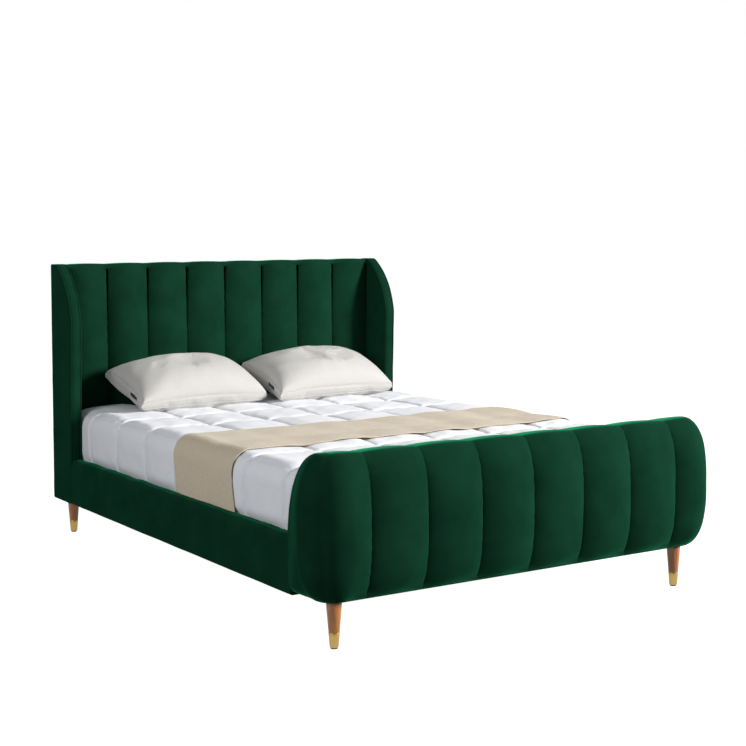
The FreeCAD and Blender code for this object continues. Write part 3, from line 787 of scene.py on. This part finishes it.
class BED_OT_mattress(bpy.types.Operator):
    """Makes the mattress: rounded corners, taped edges, and a quilted ticking top"""

    bl_idname = "bed.mattress"
    bl_label = "Mattress"

    def execute(self, context):
        low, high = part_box("mattress")
        half_x, half_y = (high.x - low.x) / 2, (high.y - low.y) / 2
        middle_y, corner = (low.y + high.y) / 2, 0.060
        core = rounded_outline(
            [(-half_x, -half_y), (half_x, -half_y), (half_x, half_y), (-half_x, half_y)], [corner] * 4, 640
        )
        normal = outward(core)
        # The side from the bottom edge to the top one, as inset and height: taped edges, flat border.
        edge_in, edge_up = np.array(
            [
                (0.022, 0.0), (0.014, 0.0015), (0.0075, 0.006), (0.0035, 0.011), (0.0, 0.015),
                (0.0035, 0.020), (0.0025, 0.05), (0.0, 0.10), (0.0, 0.16), (0.0025, 0.21),
                (0.0035, 0.240), (0.0, 0.245), (0.0035, 0.249), (0.0075, 0.254), (0.014, 0.2585),
                (0.022, 0.260),
            ]
        ).T
        rim = core[None] - edge_in[:, None, None] * normal[None]
        # Top and underside, as rings from the middle out to the edge.
        face = np.array([0.9, 0.72, 0.55, 0.4, 0.28, 0.18, 0.1, 0.05])
        inner = rim[0][None] * (1 - face)[:, None, None]
        rings = np.concatenate([inner, rim, inner[::-1]])
        thick = edge_up[-1]
        heights = np.concatenate([np.zeros(len(face)), edge_up, np.full(len(face), thick)])[:, None]
        heights = heights * np.ones((1, len(core)))
        x, y = rings[..., 0], rings[..., 1] + middle_y
        # Diamonds stitched 130 mm apart sink the ticking 3.5 mm.
        diamonds = np.sin(np.pi * (x + y) / 0.13) * np.sin(np.pi * (x - y) / 0.13)
        tufts = 0.0035 * (np.abs(diamonds) ** 0.5 - 1)
        heights[-len(face) :] += tufts[-len(face) :]
        points = np.stack([x, y, low.z + heights], -1)
        piece = add_piece(
            "mattress_ticking", [surface(points)], "mattress_cloth", "mattress", ["mattress"], 60
        )
        return {"FINISHED"}


# Quilt: radius of its folds, height of its flat, and one seam of each set, as cloth distances.
QUILT_BEND, QUILT_TOP, COLUMN_SEAM, ROW_SEAM = 0.058, 0.552, -0.494, 0.510


def quilt_place(a, b, rise):
    """Maps cloth distances to space: a from the middle line and b from the head edge.

    Past a fold the cloth turns down through a quarter round, then hangs; at the foot corners the
    two drops share an angle. The result stands off that surface by rise, along its normal.
    """
    low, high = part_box("comforter")
    flat_x = high.x - QUILT_BEND
    flat_b = high.y - low.y - QUILT_BEND
    over_a, over_b = np.maximum(np.abs(a) - flat_x, 0), np.maximum(b - flat_b, 0)
    drop = np.maximum(over_a, over_b)
    turn = np.pi / 2 * over_b / np.maximum(over_a + over_b, 1e-9)
    lean = np.minimum(drop / QUILT_BEND, np.pi / 2)
    out = QUILT_BEND * np.sin(lean) + rise * np.sin(lean)
    z = QUILT_TOP - QUILT_BEND * (1 - np.cos(lean)) - np.maximum(drop - QUILT_BEND * np.pi / 2, 0)
    z = z + rise * np.cos(lean)
    x = np.sign(a) * (np.minimum(np.abs(a), flat_x) + out * np.cos(turn))
    y = high.y - (np.minimum(b, flat_b) + out * np.sin(turn))
    return np.stack(np.broadcast_arrays(x, y, z), -1), z, over_b


def quilt_rise(a, b, sizes):
    """Rise of the boxes: a groove 1 - exp(-gap / 8 mm) by each seam under a low crown, with creases."""
    column = (a - COLUMN_SEAM) / sizes.quilt_box_x
    row = (b - ROW_SEAM) / sizes.quilt_box_y
    across, along = np.abs(np.sin(np.pi * column)), np.abs(np.sin(np.pi * row))
    near_column = np.abs(column - np.round(column)) * sizes.quilt_box_x
    near_row = np.abs(row - np.round(row)) * sizes.quilt_box_y
    # The column seam on the fold is pulled flat by the drop.
    at_fold = 1 - 0.7 * smooth(0.60, 0.72, np.abs(a))
    groove = (1 - at_fold * np.exp(-near_column / 0.008)) * (1 - np.exp(-near_row / 0.008))
    across = 1 - at_fold * (1 - across)
    deeper = 0.38 + 0.32 * smooth(0.70, 0.78, np.abs(a))
    rise = sizes.quilt_loft * (deeper * groove + 0.45 * (across * along) ** 0.6)
    rise = rise + pulls(b, near_column, 3, 0.0026) * groove
    rise = rise + pulls(a, near_row, 4, 0.0026) * groove
    rise = rise + 0.0020 * ripple(a, b, 5, 0.21) + 0.0010 * ripple(a, b, 6, 0.07)
    # It lies flatter where it has to pass between the wings.
    rise = rise * (1 - 0.58 * smooth(0.66, 0.76, np.abs(a)) * (1 - smooth(0.16, 0.24, b)))
    # It is pressed flat between the mattress and the rails, and at the footboard.
    _, z, over_b = quilt_place(a, b, 0)
    tucked = smooth(0.335, 0.385, z) * (1 - smooth(0.0, 0.03, over_b))
    return np.clip(rise, 0, None) * tucked


def crowd(values, first, pitch):
    """Moves grid lines towards the seams: c - 0.7 sin(2 pi c) / (2 pi), in seam pitches c."""
    c = (values - first) / pitch
    return first + pitch * (c - 0.7 * np.sin(2 * np.pi * c) / (2 * np.pi))


def cloth_shell(outer, inner, uv):
    """Closed sheet: an outer and an inner grid joined along their sides, and a strip over each end."""
    ring = np.concatenate([outer, inner[:, ::-1]], 1)
    flat = np.concatenate([uv, uv[:, ::-1]], 1)
    ends = [np.stack([outer[row], inner[row]]) for row in (0, -1)]
    strips = [surface(end, wrap_columns=False, caps=False) for end in ends]
    return [surface(ring, caps=False, uv=flat), *strips]


def hem_drop(height):
    """Cloth distance past the fold that brings an edge down to a height."""
    return QUILT_TOP - height + QUILT_BEND * (math.pi / 2 - 1)


class BED_OT_quilt(bpy.types.Operator):
    """Makes the box-stitched quilt over the mattress, tucked inside the rails"""

    bl_idname = "bed.quilt"
    bl_label = "Quilt"

    def execute(self, context):
        sizes = context.scene.bed_sizes
        low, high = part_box("comforter")
        drop = hem_drop(low.z + 0.002)
        reach_a = high.x - QUILT_BEND + drop
        reach_b = high.y - low.y - QUILT_BEND + drop
        a = crowd(np.linspace(-reach_a, reach_a, 208), COLUMN_SEAM, sizes.quilt_box_x)
        b = crowd(np.linspace(0, reach_b, 236), ROW_SEAM, sizes.quilt_box_y)
        a, b = np.clip(a, -reach_a, reach_a)[:, None], np.clip(b, 0, reach_b)[None, :]
        a, b = np.broadcast_arrays(a, b)
        edge = smooth(0, 0.02, b)
        outer, z, _ = quilt_place(a, b, quilt_rise(a, b, sizes) * edge)
        # Below the rise it is 17.5 mm thick in its drops and 25 mm on the flat.
        flat = smooth(0.51, QUILT_TOP, z)
        inner, _, _ = quilt_place(a, b, -(0.0175 + 0.0075 * flat))
        shell = cloth_shell(outer, inner, np.stack([a, b], -1))
        piece = add_piece("box_quilt", shell, "quilt_cotton", "comforter", ["comforter"], 80)
        return {"FINISHED"}


def spread_high(values, steps_a, steps_b):
    """Highest of the neighbours within the steps, then the mean of them: a cloth drawn over bumps."""
    for axis, steps in ((0, steps_a), (1, steps_b)):
        pad = [(0, 0), (0, 0)]
        pad[axis] = (steps, steps)
        for reduce in (np.max, np.mean):
            window = np.lib.stride_tricks.sliding_window_view(
                np.pad(values, pad, mode="edge"), 2 * steps + 1, axis=axis
            )
            values = reduce(window, axis=-1)
    return values


class BED_OT_runner(bpy.types.Operator):
    """Lays the woven runner across the quilt and down both sides"""

    bl_idname = "bed.runner"
    bl_label = "Bed runner"

    def execute(self, context):
        sizes = context.scene.bed_sizes
        low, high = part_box("runner")
        quilt_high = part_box("comforter")[1]
        fold = quilt_high.x - QUILT_BEND
        drop = hem_drop(low.z + 0.001)
        a = np.linspace(-fold - drop, fold + drop, 232)[:, None]
        share = np.linspace(-1, 1, 64)[None, :]
        past = np.maximum(np.abs(a) - fold, 0) / drop
        middle, half_width = quilt_high.y - (low.y + high.y) / 2, 0.243
        # The left drop leans to the foot, by lean at its hem.
        lean, thick = 0.032, 0.0014
        sway = 0.0025 * ripple(a, 0 * share, 9, 0.5) * share**2
        b = middle + share * half_width + lean * past * (a < 0) + sway
        a = a * np.ones_like(share)
        lift = spread_high(quilt_rise(a, b, sizes), 4, 4) + thick
        lift = lift + 0.0014 * smooth(0.55, 1.0, np.abs(share)) * (1 + ripple(a, b, 12, 0.16))
        hem = 0.0006 * smooth(0.93, 0.95, np.abs(share))
        outer, _, _ = quilt_place(a, b, lift + thick + hem)
        inner, _, _ = quilt_place(a, b, lift)
        shell = cloth_shell(outer, inner, np.stack([a, b], -1))
        piece = add_piece("woven_runner", shell, "runner_weave", "runner", ["runner"], 60)
        return {"FINISHED"}


def vertex_places(mesh):
    """Places of a mesh's vertices."""
    places = np.empty(len(mesh.vertices) * 3)
    mesh.vertices.foreach_get("co", places)
    return places.reshape(-1, 3)


def settle(piece, pressure, slack, most):
    """Fills a sewn case with air in a cloth simulation, then keeps each point within most of its start."""
    scene = bpy.context.scene
    mesh = piece.data
    start = vertex_places(mesh)
    cloth = piece.modifiers.new("Cloth", "CLOTH")
    rules = cloth.settings
    rules.quality, rules.mass = 6, 0.25
    rules.tension_stiffness = rules.compression_stiffness = 12
    rules.shear_stiffness, rules.bending_stiffness = 4, 0.4
    rules.use_pressure, rules.uniform_pressure_force = True, pressure
    rules.shrink_min = -slack
    rules.effector_weights.gravity = 0
    for number in range(1, 21):
        scene.frame_set(number)
    move = vertex_places(piece.evaluated_get(bpy.context.evaluated_depsgraph_get()).data) - start
    size = np.linalg.norm(move, axis=1, keepdims=True)
    piece.modifiers.remove(cloth)
    scene.frame_set(1)
    place = start + move * np.minimum(1, most / np.maximum(size, 1e-9))
    mesh.vertices.foreach_set("co", place.ravel())
    mesh.update()


def pillow_case(half_x, half_y, half_z, gusset, seed, cells=72):
    """Rows of a sewn case from top middle to underside middle, the slice that is gusset, and outward.

    Squares nest from the middle out to the seam. The seam bows in between the corners, and the
    top stands over it by ((1 - p^2)(1 - q^2))^0.5; the underside mirrors it, flatter.
    """
    t = np.linspace(0, 1, cells, endpoint=False)
    side = np.concatenate(
        [
            np.stack([2 * t - 1, -np.ones(cells)], -1),
            np.stack([np.ones(cells), 2 * t - 1], -1),
            np.stack([1 - 2 * t, np.ones(cells)], -1),
            np.stack([-np.ones(cells), 1 - 2 * t], -1),
        ]
    )
    rings = np.append(np.linspace(0.02, 0.985, 40), [0.9985, 1])[:, None, None]
    p, q = np.moveaxis(side[None] * rings, -1, 0)
    stretch_x = half_x * p * (1 - 0.055 * (1 - q**2) * np.abs(p) ** 3)
    stretch_y = half_y * q * (1 - 0.075 * (1 - p**2) * np.abs(q) ** 3)
    dome = (np.clip(1 - p**2, 0, 1) * np.clip(1 - q**2, 0, 1)) ** 0.5
    band = gusset / 2 * (1 - 0.35 * (p * q) ** 4)
    crease = 0.0016 * ripple(stretch_x, stretch_y, seed, 0.11) * smooth(0, 0.25, dome)
    top = np.stack([stretch_x, stretch_y, band + (half_z - gusset / 2) * dome + crease], -1)
    low = np.stack([stretch_x, stretch_y, -band - (half_z - gusset / 2) * 0.42 * dome + crease], -1)
    out = np.stack([side[:, 0], side[:, 1], np.zeros(len(side))], -1)
    out /= np.linalg.norm(out, axis=1, keepdims=True)
    # The seams are drawn in, so that the piping lies in a groove.
    top[-1] -= 0.006 * out
    low[-1] -= 0.006 * out
    share = np.array([0.1, 0.3, 0.5, 0.7, 0.9])[:, None, None]
    wall = top[-1] * (1 - share) + low[-1] * share + 0.008 * np.sin(np.pi * share) ** 0.3 * out
    return np.concatenate([top, wall, low[::-1]]), slice(len(top) - 1, len(top) + len(wall) + 1), out


# Half length, half width and half thickness at the middle, and the gusset's whole height.
PILLOW_SIZE = (0.314, 0.172, 0.130, 0.040)
# Middle x, depth and height in metres, then turn and tilt in degrees.
PILLOWS = {
    "left": (-0.310, 0.267, 0.650, -5.0, 19.0),
    "right": (0.374, 0.275, 0.650, -4.5, 19.0),
}


class BED_OT_pillows(bpy.types.Operator):
    """Makes the two piped and gusseted pillows, propped against the headboard"""

    bl_idname = "bed.pillows"
    bl_label = "Pillows"

    def execute(self, context):
        for side, (x, depth, z, turn, tilt) in PILLOWS.items():
            case, band, out = pillow_case(*PILLOW_SIZE, 30 if side == "left" else 31)
            body = f"pillow_{side}"
            move = (
                Matrix.Translation((x, WALL_Y - depth, z))
                @ Matrix.Rotation(math.radians(-turn), 4, "Z")
                @ Matrix.Rotation(math.radians(tilt), 4, "X")
            )
            rotate, shift = np.array(move)[:3, :3], np.array(move)[:3, 3]
            case, out = case @ rotate.T + shift, out @ rotate.T
            piece = add_piece(f"case_{side}", [surface(case)], "pillow_cotton", body, [body], 80)
            settle(piece, pressure=3.0, slack=0.03, most=0.012)
            # No two points of a case are one, so its vertices are still in the order of its rows.
            gusset = vertex_places(piece.data)[: case[..., 0].size].reshape(case.shape)[band]
            cords, cord = [], 0.0018
            for path in (gusset[0], gusset[-1]):
                path = path + 0.0014 * out
                for _ in range(2):
                    path = (np.roll(path, 1, 0) + 2 * path + np.roll(path, -1, 0)) / 4
                cords.append(tube(path, cord))
            add_piece(f"piping_{side}", cords, "pillow_cotton", body)
            # Blank woven tag, about 57 x 16 mm, on the left end's gusset, towards the foot.
            span = slice(260, 273)
            face, back = (gusset[2:5, span] + stand * out[span] for stand in (0.0012, -0.003))
            shell = cloth_shell(face, back, face[..., :2])
            add_piece(f"label_{side}", shell, "dust_cloth", body, sharp=50)
        return {"FINISHED"}


# ---- The list of them


STEPS = (
    BED_OT_stage,
    BED_OT_headboard,
    BED_OT_wings,
    BED_OT_rails,
    BED_OT_footboard,
    BED_OT_legs,
    BED_OT_timber,
    BED_OT_mattress,
    BED_OT_quilt,
    BED_OT_runner,
    BED_OT_pillows,
)


class BED_PT_pieces(bpy.types.Panel):
    """Lists the bed's pieces, sizes and colours"""

    bl_idname = "BED_PT_pieces"
    bl_label = "Channel Velvet Bed"
    bl_space_type = "VIEW_3D"
    bl_region_type = "UI"
    bl_category = "Bed"

    def draw(self, context):
        for step in STEPS:
            self.layout.operator(step.bl_idname)
        for group in (context.scene.bed_sizes, context.scene.bed_colours):
            for name in group.__annotations__:
                self.layout.prop(group, name)


CLASSES = (BedSizes, BedColours, *STEPS, BED_PT_pieces)


def register():
    for item in CLASSES:
        bpy.utils.register_class(item)
    bpy.types.Scene.bed_sizes = bpy.props.PointerProperty(type=BedSizes)
    bpy.types.Scene.bed_colours = bpy.props.PointerProperty(type=BedColours)


def unregister():
    del bpy.types.Scene.bed_colours
    del bpy.types.Scene.bed_sizes
    for item in reversed(CLASSES):
        bpy.utils.unregister_class(item)


def main():
    """Registers the classes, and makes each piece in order."""
    register()
    make_finishes(bpy.context.scene.bed_colours)
    for step in STEPS:
        group, name = step.bl_idname.split(".")
        getattr(getattr(bpy.ops, group), name)()


if __name__ == "__main__":
    main()
